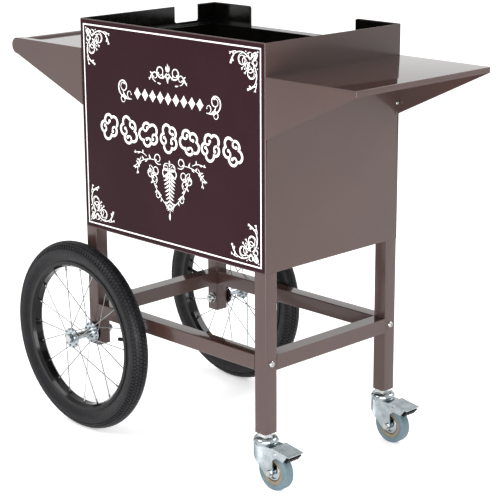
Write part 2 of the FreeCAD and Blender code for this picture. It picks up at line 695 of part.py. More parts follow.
def hinge_pins():
    """Headed pins of the two door hinges."""
    radius = size("hinge_pin")
    length = size("hinge_length")
    head = 1.0
    pin = solid_of_revolution([(0, 0), (radius, 0), (radius, length), (2 * radius, length),
                               (2 * radius, length + head), (0, length + head)])
    group("hinge_pins", [moved(pin, (size(HINGE_X), size(HINGE_Y), level)) for level in hinge_levels()])


def door_catch():
    """Magnetic catch: a foot inside the edge of the door opening and a block that reaches to the door."""
    width, height = size("catch_width"), size("catch_height")
    inner = size(f"{HALF_DEPTH} - sheet")
    depth_inside = 10
    corner = Vector(size("door_width / 2 - door_lap") - width, inner - depth_inside, size("door_top") - 90)
    reach = size("door_stand - door_gap / 2")
    block = Part.makeBox(width, depth_inside + reach, height, corner)
    foot = Part.makeBox(2 * width, depth_inside, height, corner)
    group("door_catch", [block.fuse(foot).removeSplitter()])


# ---------------------------------------------------------------- fasteners of the cabinet and frame
def pan_screw(radius, head_radius, head_height, length):
    """Pan-head screw: the head's underside is the origin, the shank runs down."""
    shank = [(0, -length), (radius, -length), (radius, 0)]
    dome = [(head_radius, 0), (head_radius, 0.45 * head_height), (0.8 * head_radius, 0.85 * head_height),
            (0.4 * head_radius, head_height), (0, head_height)]
    slot_length, slot_width, slot_depth = 1.1 * head_radius, 0.28 * head_radius, head_height / 3
    recess = Part.makeBox(slot_length, slot_width, slot_depth,
                          Vector(-slot_length / 2, -slot_width / 2, head_height - slot_depth))
    crossed = recess.copy()
    crossed.rotate(ORIGIN, UP, 90)
    return solid_of_revolution(shank + dome).cut(recess.fuse(crossed))


def shelf_screws():
    screw = pan_screw(size("machine_screw"), size("screw_head"), size("screw_rise"), 10)
    face = size(f"{HALF_WIDTH} + sheet")
    group("shelf_screws", [moved(screw, (side * face, size(across), size(level)), Vector(side, 0, 0))
                           for side in (1, -1) for across, level in shelf_screw_spots()])


def seam_screws():
    screw = pan_screw(size("machine_screw"), size("screw_head"), size("screw_rise"), 8)
    group("seam_screws", [moved(screw, (size(x), size(HALF_DEPTH), size(z)), Vector(0, 1, 0))
                          for x, z in seam_spots()])


def rail_bolts():
    """Pan-head bolts through the legs into the rails' end plates."""
    radius = size("rail_bolt")
    bolt = pan_screw(radius, 2 * radius, 4, size("tube") + 14)
    across, along, level = size(HALF_WIDTH), size(LEG_Y), size("rail_height")
    group("rail_bolts", [moved(bolt, (side * across, sign * along, level), Vector(side, 0, 0))
                         for side in (1, -1) for sign in (1, -1)])


def leg_bolts():
    """Hexagon bolts through the cabinet floor into the leg tops."""
    flats, head_height, length = 13, 5.5, 16
    shank = Part.makeCylinder(size("leg_bolt"), length, UP * -length)
    bolt = hexagon(flats, head_height).fuse(shank)
    across, along, level = size(LEG_X), size(LEG_Y), size("base_height + sheet")
    group("leg_bolts", [moved(bolt, (side * across, sign * along, level))
                        for side in (1, -1) for sign in (1, -1)])


# ---------------------------------------------------------------- spoked wheels
# A wheel is drawn about its own centre with the axle along Y and the outer side towards -Y.
WHEEL_X = f"-{LEG_X}"
WHEEL_SIDES = (("front", "-", 0.0), ("rear", "", 180.0))


def wheel_place(piece, sign, turn):
    return place(piece, WHEEL_X, f"{sign}({HALF_DEPTH} + wheel_offset)", "wheel_radius", turn)


def drum(name, radius, length):
    """Cylinder lying along Y, centred on the origin."""
    solid = document.addObject("Part::Cylinder", name)
    solid.setExpression("Radius", formula(radius))
    solid.setExpression("Height", formula(length))
    solid.Placement.Rotation = FreeCAD.Rotation(UP, Vector(0, 1, 0))
    solid.setExpression("Placement.Base.y", formula(f"-({length}) / 2"))
    return solid


def torus(name, centre_radius, section_radius):
    """Torus round the Y axis."""
    solid = document.addObject("Part::Torus", name)
    solid.setExpression("Radius1", formula(centre_radius))
    solid.setExpression("Radius2", formula(section_radius))
    solid.Placement.Rotation = FreeCAD.Rotation(UP, Vector(0, 1, 0))
    return solid


def boolean(kind, name, base, tool):
    step = document.addObject(f"Part::{kind}", name)
    step.Base = base
    step.Tool = tool
    return step


def tyre(tag, sign, turn):
    """Round casing that narrows to two beads between the rim's edges."""
    middle = "wheel_radius - tyre_section"
    casing = torus(f"{tag}_casing", middle, "tyre_section")
    beads = drum(f"{tag}_beads", "rim_edge + 8", "rim_width - 2 * rim_metal - 2 * gap")
    outer = boolean("Fuse", f"{tag}_tyre_outer", casing, beads)
    hollow = torus(f"{tag}_tyre_hollow", middle, "tyre_section - tyre_wall")
    mouth = drum(f"{tag}_tyre_mouth", "rim_edge + 10", "rim_width / 2")
    inner = boolean("Fuse", f"{tag}_tyre_inner", hollow, mouth)
    open_casing = boolean("Cut", f"{tag}_tyre_open", outer, inner)
    seat = drum(f"{tag}_tyre_seat", "rim_seat + gap", "3 * rim_width")
    piece = node(boolean("Cut", f"{tag}_tyre", open_casing, seat), f"{tag}_tyre")
    wheel_place(piece, sign, turn)


def inner_tube(tag, sign, turn):
    middle = "wheel_radius - tyre_section"
    air = "tyre_section - tyre_wall - gap"
    outside = torus(f"{tag}_tube_outside", middle, air)
    inside = torus(f"{tag}_tube_inside", middle, f"{air} - tube_rubber")
    piece = node(boolean("Cut", f"{tag}_inner_tube", outside, inside), f"{tag}_inner_tube")
    wheel_place(piece, sign, turn)


def rim(tag, sign, turn):
    """Pressed steel rim with a centre well, holes for the nipples and one for the valve."""
    piece = body(f"{tag}_rim")
    half = "rim_width / 2"
    one_side = [("rim_edge", f"{half} - rim_metal"), ("rim_edge", half), ("rim_seat - rim_metal", half),
                ("rim_inner", f"{half} - 6")]
    inside = [("rim_inner + rim_metal", f"{half} - 7.2"), ("rim_seat", f"{half} - 4.8"),
              ("rim_seat", f"{half} - rim_metal")]
    other = [(radius, f"-({across})") for radius, across in reversed(one_side)]
    other_inside = [(radius, f"-({across})") for radius, across in reversed(inside)]
    profile = sketch(piece, "XY_Plane", f"{tag}_rim_profile")
    outline(profile, one_side + other + other_inside + inside)
    revolve(piece, profile)
    hole = sketch(piece, "YZ_Plane", f"{tag}_spoke_hole", "rim_inner + rim_metal / 2")
    circle(hole, ("0", "0"), "2.8 * spoke")
    drilled = pocket(piece, hole, "3 * rim_metal")
    ring_pattern(piece, [drilled], "Y_Axis", "2 * spokes_per_side")
    document.recompute()
    valve_hole = document.addObject("Part::Cylinder", f"{tag}_valve_hole")
    valve_hole.setExpression("Radius", formula("valve + 4 * gap"))
    valve_hole.Height = 20
    outward = valve_direction()
    start = outward * (size("rim_inner") - 8)
    valve_hole.Placement = FreeCAD.Placement(start, FreeCAD.Rotation(UP, outward))
    nodes.remove(piece)
    piece.Label = f"{tag}_rim_blank"
    finished = node(boolean("Cut", f"{tag}_rim_drilled", piece, valve_hole), f"{tag}_rim")
    wheel_place(finished, sign, turn)


def spoke_ends():
    """Ends of every spoke: (elbow, rim point, side of the wheel, side of the flange)."""
    count = int(size("spokes_per_side"))
    pitch = 2 * math.pi / count
    ends = []
    for side in (-1, 1):
        flange = side * size("flange_gap") / 2
        start = 0.0 if side == -1 else pitch / 2
        for index in range(count):
            lean = 1 if index % 2 == 0 else -1
            hub_turn = start + pitch * index
            rim_turn = hub_turn + lean * pitch
            rise = flange + side * lean * size("flange_metal / 2 + 1.9 * spoke")
            ring = size("spoke_circle")
            elbow = Vector(ring * math.cos(hub_turn), rise, ring * math.sin(hub_turn))
            outer = size("rim_inner + rim_metal + 1.2")
            rim_point = Vector(outer * math.cos(rim_turn), 0, outer * math.sin(rim_turn))
            ends.append((elbow, rim_point, side, lean))
    return ends


def spokes(tag, sign, turn):
    """Straight spokes, each with an elbow and a head through its flange hole."""
    radius = size("spoke")
    through = size("flange_metal + 3.2 * spoke")
    shapes = []
    for elbow, rim_point, side, lean in spoke_ends():
        run = rim_point - elbow
        straight = Part.makeCylinder(radius, run.Length - 4, elbow, run)
        bend = Part.makeSphere(radius, elbow)
        into_flange = Vector(0, -side * lean, 0)
        stub = Part.makeCylinder(radius, through, elbow, into_flange)
        head = Part.makeCylinder(1.8 * radius, 0.8, elbow + into_flange * through, into_flange)
        shapes.append(straight.fuse([bend, stub, head]).removeSplitter())
    wheel_place(group(f"{tag}_spokes", shapes), sign, turn)


def nipples(tag, sign, turn):
    """Spoke nipples, seated in the rim and screwed over the spoke ends."""
    shapes = []
    bore = size("spoke + gap / 2")
    head_height, length = 1.6, 12
    for elbow, rim_point, side, lean in spoke_ends():
        inward = elbow - rim_point
        inward.normalize()
        top = rim_point - inward * head_height
        head = Part.makeCylinder(size("nipple_head"), head_height, top, inward)
        sleeve = Part.makeCylinder(size("nipple"), length, rim_point, inward)
        hole = Part.makeCylinder(bore, head_height + length, top, inward)
        shapes.append(head.fuse(sleeve).cut(hole))
    wheel_place(group(f"{tag}_nipples", shapes), sign, turn)


def hub(tag, sign, turn):
    """Turned hub: two drilled flanges, a slim barrel and a bearing cup at each end."""
    piece = body(f"{tag}_hub")
    inner_face = "flange_gap / 2 - flange_metal / 2"
    outer_face = "flange_gap / 2 + flange_metal / 2"
    floor = "hub_half - bearing_width - 1"
    outside = [("barrel", f"{inner_face} - 4"), ("cup", inner_face), ("flange_radius", inner_face),
               ("flange_radius", outer_face), ("cup", outer_face), ("cup", "hub_half"),
               ("cup - cup_wall", "hub_half"), ("cup - cup_wall", floor), ("axle + 1.5", floor)]
    other = [(radius, f"-({across})") for radius, across in reversed(outside)]
    profile = sketch(piece, "XY_Plane", f"{tag}_hub_profile")
    outline(profile, outside + other)
    revolve(piece, profile)
    for side, name, pitches in (("-", "outer", 0.0), ("", "inner", 0.5)):
        turned = f"{pitches} * 360 / spokes_per_side"
        hole = sketch(piece, "XZ_Plane", f"{tag}_{name}_flange_hole", f"-({side}flange_gap / 2)")
        circle(hole, (f"spoke_circle * cos({turned})", f"spoke_circle * sin({turned})"), "1.3 * spoke")
        drilled = pocket(piece, hole, "3 * flange_metal")
        ring_pattern(piece, [drilled], "Y_Axis", "spokes_per_side")
    wheel_place(piece, sign, turn)


def hub_bearings(tag, sign, turn):
    """A pair of bearings that run on the axle bolt."""
    width = size("bearing_width")
    ring = Part.makeCylinder(size("cup - cup_wall"), width).cut(Part.makeCylinder(size("axle + gap"), width))
    inner_end = size("hub_half") - 1 - width
    shapes = [moved(ring, (0, side * inner_end, 0), Vector(0, side, 0)) for side in (1, -1)]
    wheel_place(group(f"{tag}_hub_bearings", shapes), sign, turn)


def valve_direction():
    """The valve stands midway between two spokes."""
    turn = math.pi / (2 * size("spokes_per_side"))
    return Vector(math.cos(turn), 0, math.sin(turn))


def valve(tag, sign, turn):
    """Rubber-covered valve stem with its cap, pointing at the hub."""
    start = size("rim_inner + rim_metal") + 4
    radius = size("valve")
    rubber = [(0, 0), (radius, 0), (radius, 8), (radius - 0.5, 20)]
    cap = [(radius - 0.2, 20.5), (radius - 0.2, 29), (radius - 1.2, 30.5), (0, 30.5)]
    inward = valve_direction() * -1
    stem = moved(solid_of_revolution(rubber + cap), inward * -start, inward)
    wheel_place(group(f"{tag}_valve", [stem]), sign, turn)


def wheel(tag, sign, turn):
    for make in (tyre, inner_tube, rim, spokes, nipples, hub, hub_bearings, valve):
        make(tag, sign, turn)


def axle_set():
    """Axle bolts, spacers, washers and nuts that hold both wheels to the left legs."""
    radius = size("axle")
    bore = radius + size("gap")
    mid_plane = size(f"{HALF_DEPTH} + wheel_offset")
    outer = size("hub_half") + 0.4
    leg_outside = size("wheel_offset")
    leg_inside = leg_outside + size("tube")
    shank = outer + leg_inside + 15
    spacer_length = leg_outside - outer
    washer_radius, washer_thickness = 11, 2
    head_flats, head_height = 16, 6.5
    nut_flats, nut_height = 17, 8.5
    bolt = hexagon(head_flats, head_height).fuse(Part.makeCylinder(radius, shank, Vector(0, 0, -shank)))
    spacer = Part.makeCylinder(size("axle_spacer"), 0.6 * spacer_length)
    spacer = spacer.fuse(Part.makeCylinder(size("cup"), spacer_length))
    spacer = spacer.cut(Part.makeCylinder(bore, spacer_length))
    washer = Part.makeCylinder(washer_radius, washer_thickness)
    washer = washer.cut(Part.makeCylinder(bore, washer_thickness))
    nut = hexagon(nut_flats, nut_height, bore)
    # distance of each piece's own origin outside the wheel's mid-plane, and which way its +Z points
    stations = {"axle_bolts": (bolt, outer, 1), "axle_spacers": (spacer, -leg_outside, 1),
                "axle_washers": (washer, -leg_inside, -1),
                "axle_nuts": (nut, -leg_inside - washer_thickness, -1)}
    for name, (shape, station, facing) in stations.items():
        group(name, [moved(shape, (size(WHEEL_X), side * (mid_plane + station), size("wheel_radius")),
                           Vector(0, side * facing, 0)) for side in (-1, 1)])


# ---------------------------------------------------------------- casters
# A caster is drawn about its swivel axis at floor level, with the wheel trailing towards +X.
CASTER_SIDES = (("front_caster", "-"), ("rear_caster", ""))


def caster_place(piece, sign):
    return place(piece, LEG_X, sign + LEG_Y)


def caster_fork(tag, sign):
    """Pressed fork with a rounded nose, ears for the pedal and a round swivel crown on top."""
    piece = body(f"{tag}_fork")
    plan = sketch(piece, "XY_Plane", f"{tag}_fork_plan", "caster_radius / 2")
    rectangle(plan, ("-fork_nose", "-fork_half"), ("fork_tail", "fork_half"))
    pad(piece, plan, "fork_top - caster_radius / 2")
    round_edges(piece, "fork_half / 2", lambda middle, along: abs(along.z) > 0.9
                and near(-middle.x, "fork_nose"))
    inside = "(fork_half - fork_metal)"
    hollow = sketch(piece, "XY_Plane", f"{tag}_fork_hollow")
    rectangle(hollow, ("-(fork_nose - fork_metal)", f"-{inside}"), ("2 * fork_tail", inside))
    pocket(piece, hollow, "2 * (fork_top - fork_metal)")
    window = sketch(piece, "XY_Plane", f"{tag}_fork_window", "fork_top")
    rectangle(window, ("crown_radius + 6", f"-{inside}"), ("2 * fork_tail", inside))
    pocket(piece, window, "4 * fork_metal")
    trim_fork_sides(piece, tag)
    crown = sketch(piece, "XZ_Plane", f"{tag}_crown_profile")
    outline(crown, [("stem + gap", "fork_top - fork_metal"), ("crown_radius - 4", "fork_top - fork_metal"),
                    ("crown_radius - 0.7", "fork_top + 2"), ("crown_radius", "fork_top + 4.5"),
                    ("crown_radius", "fork_top + 7"), ("crown_radius - 1", "fork_top + 9.5"),
                    ("crown_radius - 3.5", "crown_top - 1"), ("crown_radius - 6", "crown_top - 0.3"),
                    ("crown_radius - 8", "crown_top - 1.5"), ("stem + gap", "crown_top - 1.5")])
    revolve(piece, crown)
    bore = sketch(piece, "XY_Plane", f"{tag}_fork_bore", "fork_top")
    circle(bore, ("0", "0"), "stem + gap")
    pocket(piece, bore, "crown_radius")
    holes = sketch(piece, "XZ_Plane", f"{tag}_fork_holes")
    circle(holes, ("caster_trail", "caster_radius"), "caster_axle + gap")
    circle(holes, ("pedal_pivot_reach", "pedal_pivot_height"), "pedal_pin + gap")
    pocket(piece, holes, "4 * fork_half")
    caster_place(piece, sign)


def trim_fork_sides(piece, tag):
    """Cut the fork's side view: a sloped nose, a narrow boss at the wheel axle and an ear for the pedal."""
    nose_end = "fork_top - 19"
    boss = "(3 * caster_axle)"
    boss_foot = f"caster_radius - {boss}"
    boss_tail = "(caster_trail + 7.5)"
    ear = "pedal_pivot_height - 6"
    armpit = f"{ear} - 9"
    nose = [("-2 * fork_nose", nose_end), ("-fork_nose", nose_end), ("-fork_nose / 2", f"{nose_end} - 15")]
    boss_round = [(f"caster_trail - 2 * {boss}", f"{boss_foot} + 8"), (f"caster_trail - {boss}", boss_foot),
                  ("caster_trail + 4", boss_foot), (boss_tail, f"{boss_foot} + 4")]
    tail = [(boss_tail, armpit), (f"{boss_tail} + 13", ear), ("2 * fork_tail", ear)]
    side = sketch(piece, "XZ_Plane", f"{tag}_fork_side")
    outline(side, nose + boss_round + tail + [("2 * fork_tail", "0"), ("-2 * fork_nose", "0")])
    pocket(piece, side, "4 * fork_half")
    round_edges(piece, "5", lambda middle, along: abs(along.y) > 0.9
                and near(middle.x, boss_tail) and near(middle.z, armpit))
    slope = sketch(piece, "XZ_Plane", f"{tag}_ear_slope")
    slope_end = "fork_tail + 1"
    outline(slope, [("pedal_heel", "fork_top"), (slope_end, "fork_top - 4"), (slope_end, "fork_top + 1"),
                    ("pedal_heel", "fork_top + 1")])
    pocket(piece, slope, "4 * fork_half")


def caster_wheel_place(piece, sign):
    return place(piece, f"{LEG_X} + caster_trail", sign + LEG_Y, "caster_radius")


def caster_tread(tag, sign):
    """Soft grey tread: a flat running face with small shoulders and sides that bulge towards the core."""
    piece = body(f"{tag}_tread")
    profile = sketch(piece, "XY_Plane", f"{tag}_tread_profile")
    half = "caster_width / 2"
    side = [("caster_radius", f"{half} - 3"), ("caster_radius - 6", half), ("caster_core", f"{half} - 1")]
    other = [(radius, f"-({across})") for radius, across in reversed(side)]
    outline(profile, side + other)
    revolve(piece, profile)
    round_edges(piece, "2.2", lambda middle, along: near(math.hypot(middle.x, middle.z), "caster_radius"))
    caster_wheel_place(piece, sign)


def caster_core(tag, sign):
    """Tan plastic ring between tread and zinc disc, with a dark groove round the disc."""
    piece = body(f"{tag}_core")
    profile = sketch(piece, "XY_Plane", f"{tag}_core_profile")
    half = "caster_width / 2"
    side = [("caster_core", f"{half} - 1.5"), ("caster_disc + 1.6", f"{half} - 2.5"),
            ("caster_disc + 1.6", f"{half} - 8"), ("caster_disc", f"{half} - 8")]
    other = [(radius, f"-({across})") for radius, across in reversed(side)]
    outline(profile, side + other)
    revolve(piece, profile)
    caster_wheel_place(piece, sign)


def caster_hub(tag, sign):
    """Zinc hub: a dished disc on each side and the sleeve that runs on the axle bolt."""
    piece = body(f"{tag}_hub")
    face = "caster_width / 2 - 3"
    end = "fork_half - fork_metal - pedal_air"
    side = [("caster_axle + gap", end), ("6", end), ("6.5", f"{face} - 1"), ("13", f"{face} - 2.5"),
            ("caster_disc - 3", face), ("caster_disc", f"{face} - 0.5"), ("caster_disc", f"{face} - 7"),
            ("6", f"{face} - 8")]
    other = [(radius, f"-({across})") for radius, across in reversed(side)]
    profile = sketch(piece, "XY_Plane", f"{tag}_hub_profile")
    outline(profile, side + other)
    revolve(piece, profile)
    caster_wheel_place(piece, sign)


def caster_axle(tag, sign):
    """Caster axle bolt and its nut."""
    radius = size("caster_axle")
    side = size("fork_half")
    flats, height = 10, 5
    head_end, nut_end = Vector(0, -side, 0), Vector(0, side, 0)
    shank = Part.makeCylinder(radius, 2 * side + height + 2, head_end, nut_end)
    bolt = moved(hexagon(flats, height), head_end, head_end).fuse(shank)
    nut = moved(hexagon(flats, height, radius + size("gap")), nut_end, nut_end)
    caster_wheel_place(group(f"{tag}_axle", [bolt, nut]), sign)


PEDAL_HALF = "(fork_half + pedal_air + pedal_metal)"
# lower end of the pedal's slanted front edge, and the low point of its skirt beside the shoe
PEDAL_LOW = ("64", "69.5")
PEDAL_SHOE = ("52", "71")


def plate_underside(back):
    """Height of the sloping pedal plate's underside, a distance back from its toe."""
    return f"(pedal_toe_height + {back} * (pedal_heel_height - pedal_toe_height) / (pedal_toe - pedal_heel))"


def brake_pedal(tag, sign):
    """Foot pedal that straddles the fork's ears, with a shoe above the tread."""
    piece = body(f"{tag}_pedal")
    side = sketch(piece, "XZ_Plane", f"{tag}_pedal_side", f"-({PEDAL_HALF})")
    plate_edge = [("pedal_heel", "pedal_heel_height + pedal_metal / 3"),
                  ("pedal_toe - 5", f"{plate_underside(5)} + pedal_metal / 3")]
    outline(side, plate_edge + [PEDAL_LOW, PEDAL_SHOE, ("pedal_heel + 3", "pedal_pivot_height - 5")])
    circle(side, ("pedal_pivot_reach", "pedal_pivot_height"), "pedal_pin")
    skirt = pad(piece, side, "pedal_metal")
    mirror(piece, [skirt], "XZ_Plane")
    top = sketch(piece, "XZ_Plane", f"{tag}_pedal_top")
    outline(top, [("pedal_heel", "pedal_heel_height"), ("pedal_heel", "pedal_heel_height + pedal_metal"),
                  ("pedal_toe", "pedal_toe_height + pedal_metal"), ("pedal_toe", "pedal_toe_height")])
    pad(piece, top, f"2 * {PEDAL_HALF}", both=True)
    shoe = sketch(piece, "XZ_Plane", f"{tag}_pedal_shoe")
    shoe_x, shoe_z = PEDAL_SHOE
    rectangle(shoe, (f"{shoe_x} - 5", f"{shoe_z} + 0.5"), (f"{shoe_x} + 1", "pedal_heel_height - 2"))
    pad(piece, shoe, "caster_width - 4", both=True)
    caster_place(piece, sign)


def brake_grip(tag, sign):
    """Black grip along the pedal's slanted front edge, ending in a row of teeth."""
    piece = body(f"{tag}_grip")
    teeth = 5
    low_x, low_z = PEDAL_LOW
    side = sketch(piece, "XZ_Plane", f"{tag}_grip_side")
    upper_front = ("pedal_toe - 5", plate_underside(5))
    lower_front = (f"{low_x} + 0.5", f"{low_z} + 0.3")
    outline(side, [("pedal_toe - 9", plate_underside(9)), upper_front, lower_front,
                   (f"{low_x} - 3", f"{low_z} + 1")])
    pad(piece, side, "2 * fork_half", both=True)
    for index in range(teeth):
        across = f"fork_half * (2 * {index} + 1 - {teeth}) / {teeth}"
        tooth = sketch(piece, "XZ_Plane", f"{tag}_grip_tooth_{index}", across)
        outline(tooth, [upper_front, ("pedal_toe - 2", "pedal_toe_height - 4"),
                        (f"{low_x} + 5", f"{low_z} - 2"), lower_front])
        pad(piece, tooth, f"fork_half / {teeth}", both=True)
    caster_place(piece, sign)


def pedal_pin(tag, sign):
    """Headed pin that the brake pedal turns on."""
    half = size(PEDAL_HALF)
    radius = size("pedal_pin")
    head = 1.6 * radius
    profile = [(0, -half), (radius, -half), (radius, half), (head, half), (0.75 * head, half + 1.4),
               (0, half + 1.6)]
    spot = (size("pedal_pivot_reach"), 0, size("pedal_pivot_height"))
    pin = moved(solid_of_revolution(profile), spot, Vector(0, -1, 0))
    caster_place(group(f"{tag}_pedal_pin", [pin]), sign)


def caster(tag, sign):
    for make in (caster_fork, caster_tread, caster_core, caster_hub, caster_axle, brake_pedal, brake_grip,
                 pedal_pin):
        make(tag, sign)


def caster_stems():
    """Riveted stems that screw up into the right legs, and the nuts that lock them."""
    radius = size("stem")
    foot = size("right_foot")
    air = size("pedal_air")
    rivet_top = size("fork_top - fork_metal") - air
    rivet_foot, rivet_radius = rivet_top - 2.7, 1.6 * radius
    top = foot + 29
    stems, nuts = [], []
    rivet = [(0, rivet_foot), (rivet_radius, rivet_foot), (rivet_radius, rivet_top)]
    shank = [(radius, rivet_top), (radius, top - 1), (radius - 1, top), (0, top)]
    stem = solid_of_revolution(rivet + shank)
    collar = size("crown_top") + air
    nut = hexagon(30, foot - collar, radius + size("gap"))
    for sign in (-1, 1):
        spot = Vector(size(LEG_X), sign * size(LEG_Y), 0)
        stems.append(moved(stem, spot))
        nuts.append(moved(nut, spot + UP * collar))
    group("caster_stems", stems)
    group("caster_nuts", nuts)


# ---------------------------------------------------------------- build everything
cabinet_shell()
back_panel()
cabinet_floor()
well_ledge()
front_graphic()
right_shelf()
left_shelf()
handle_bar()
leg_frame("right_leg_frame", "", "right_foot", "stem + gap")
left_leg_frame()
cross_rail("front_rail", "-")
cross_rail("rear_rail", "")
shelf_screws()
seam_screws()
rail_bolts()
leg_bolts()
door_panel()
door_knob()
hinge_leaves("hinge_plates", fixed=True)
hinge_leaves("door_hinge_leaves", fixed=False)
hinge_pins()
door_catch()
for wheel_tag, wheel_sign, wheel_turn in WHEEL_SIDES:
    wheel(wheel_tag, wheel_sign, wheel_turn)
axle_set()
for caster_tag, caster_sign in CASTER_SIDES:
    caster(caster_tag, caster_sign)
caster_stems()
document.recompute()

# ---------------------------------------------------------------- check and write
for thing in document.Objects:
    if "Invalid" in thing.State or "Error" in thing.State:
        raise RuntimeError(f"{thing.Name} failed: {thing.State}")
for piece in nodes:
    if piece.Shape.isNull() or not piece.Shape.isValid() or not piece.Shape.Solids:
        raise RuntimeError(f"{piece.Label} has no valid solid")
for old in os.listdir("parts"):
    os.remove(os.path.join("parts", old))
for piece in nodes:
    piece.Shape.exportStep(f"parts/{piece.Label}.step")
print(len(nodes), "nodes written")
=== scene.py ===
"""How the popcorn cart looks: materials, tyre treads, printed front, light and camera. Metres, row frame."""

import math

import bpy
from mathutils import Matrix, Vector


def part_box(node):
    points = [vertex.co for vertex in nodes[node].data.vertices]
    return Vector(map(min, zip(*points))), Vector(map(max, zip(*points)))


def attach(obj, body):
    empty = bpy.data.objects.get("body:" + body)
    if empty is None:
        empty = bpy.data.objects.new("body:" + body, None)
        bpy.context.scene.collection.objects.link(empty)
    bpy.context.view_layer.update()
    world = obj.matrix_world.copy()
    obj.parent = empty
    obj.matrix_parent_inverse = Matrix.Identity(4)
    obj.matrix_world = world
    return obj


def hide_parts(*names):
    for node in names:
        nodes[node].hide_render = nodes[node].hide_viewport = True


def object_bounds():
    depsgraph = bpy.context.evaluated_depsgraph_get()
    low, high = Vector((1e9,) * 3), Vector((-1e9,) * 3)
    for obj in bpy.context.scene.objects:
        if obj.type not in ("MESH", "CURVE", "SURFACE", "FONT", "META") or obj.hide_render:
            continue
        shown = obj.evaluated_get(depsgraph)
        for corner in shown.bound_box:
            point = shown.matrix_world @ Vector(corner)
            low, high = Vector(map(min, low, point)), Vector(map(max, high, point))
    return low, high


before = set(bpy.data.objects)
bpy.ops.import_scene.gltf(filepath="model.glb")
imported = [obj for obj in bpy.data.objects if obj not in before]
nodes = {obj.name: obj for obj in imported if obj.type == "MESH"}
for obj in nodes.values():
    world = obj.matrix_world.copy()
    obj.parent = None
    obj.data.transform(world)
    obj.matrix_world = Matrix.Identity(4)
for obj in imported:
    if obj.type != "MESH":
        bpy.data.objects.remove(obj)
cad_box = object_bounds()
MM = 0.001


# ---------------------------------------------------------------- material helpers
def colour(red, green, blue, share=1.0):
    """Linear colour from screen values of 0 to 255, scaled by a share."""
    def linear(value):
        value = value / 255
        return value / 12.92 if value <= 0.04045 else ((value + 0.055) / 1.055) ** 2.4

    return tuple(linear(value) * share for value in (red, green, blue)) + (1.0,)


def add(tree, kind, inputs=None, **settings):
    """New shader node; an input is set to a number or linked to another node's output."""
    node = tree.nodes.new("ShaderNode" + kind)
    for name, value in settings.items():
        setattr(node, name, value)
    for name, value in (inputs or {}).items():
        if isinstance(value, bpy.types.NodeSocket):
            tree.links.new(value, node.inputs[name])
        else:
            node.inputs[name].default_value = value
    return node


def place_on_object(tree):
    """Coordinates in metres on the piece."""
    return add(tree, "TexCoord").outputs["Object"]


def noise(tree, where, per_metre, detail=3.0, rough=0.55):
    return add(tree, "TexNoise", {"Vector": where, "Scale": per_metre, "Detail": detail,
                                  "Roughness": rough}).outputs["Fac"]


def ramp(tree, value, low, high, from_low=0.35, from_high=0.65):
    """Stretch a value from an old range, by default the one most of a noise stays in, to a new one."""
    return add(tree, "MapRange", {"Value": value, "From Min": from_low, "From Max": from_high,
                                  "To Min": low, "To Max": high}).outputs["Result"]


def mix(tree, share, first, second):
    """Blend two colours. Sockets go by number, as the node has a set of the same names for every type."""
    node = add(tree, "Mix", data_type="RGBA")
    for socket, value in ((node.inputs[0], share), (node.inputs[6], first), (node.inputs[7], second)):
        if isinstance(value, bpy.types.NodeSocket):
            tree.links.new(value, socket)
        else:
            socket.default_value = value
    return node.outputs[2]


def bump(tree, height, depth):
    """Small relief, depth in millimetres."""
    return add(tree, "Bump", {"Height": height, "Distance": depth * MM, "Strength": 1.0}).outputs["Normal"]


def mottled(tree, where, per_metre, detail, low, high):
    """Shade that wanders between two colours."""
    return mix(tree, ramp(tree, noise(tree, where, per_metre, detail), 0, 1), low, high)


def new_material(name):
    material = bpy.data.materials.new(name)
    material.use_nodes = True
    material.node_tree.nodes.clear()
    return material, material.node_tree


def finish_material(tree, inputs):
    surface = add(tree, "BsdfPrincipled", inputs)
    output = add(tree, "OutputMaterial")
    tree.links.new(surface.outputs["BSDF"], output.inputs["Surface"])


# ---------------------------------------------------------------- materials
def cabinet_paint():
    """Glossy taupe powder coat: slight orange peel, a slow drift of shade, hazy walls and clearer tops."""
    material, tree = new_material("cabinet_paint_look")
    where = place_on_object(tree)
    facing = add(tree, "SeparateXYZ", {"Vector": add(tree, "NewGeometry").outputs["Normal"]})

    def by_slope(on_walls, on_tops):
        return ramp(tree, facing.outputs["Z"], on_walls, on_tops, 0.3, 0.8)

    base = mottled(tree, where, 5, 2, colour(56, 37, 33), colour(61, 41, 37))
    specks = mottled(tree, where, 1500, 2, colour(40, 26, 22), colour(100, 76, 68))
    peel = noise(tree, where, 320, 2)
    wear = noise(tree, where, 60, 4)
    finish_material(tree, {
        "Base Color": mix(tree, 0.05, base, specks),
        "Roughness": mix(tree, 0.08, by_slope(0.38, 0.05), wear),
        "Specular IOR Level": by_slope(0.25, 0.30), "Coat Weight": by_slope(1.0, 0.6),
        "Coat Roughness": by_slope(0.14, 0.03), "Coat IOR": 1.34,
        "Normal": bump(tree, peel, 0.006), "Coat Normal": bump(tree, peel, 0.003)})
    return material


def well_black():
    """Near-black colour of the well: painted shade for the dark inside of the cabinet; bright where its
    ledge mirrors the sky.
    """
    material, tree = new_material("well_black_look")
    where = place_on_object(tree)
    finish_material(tree, {
        # near-black base colour is painted shade for the dark inside of the cabinet
        "Base Color": mottled(tree, where, 35, 4, colour(7, 7, 6), colour(12, 11, 10)),
        "Roughness": ramp(tree, noise(tree, where, 90, 3), 0.12, 0.18),
        "Specular IOR Level": 0.4, "Normal": bump(tree, noise(tree, where, 900, 2), 0.005)})
    return material


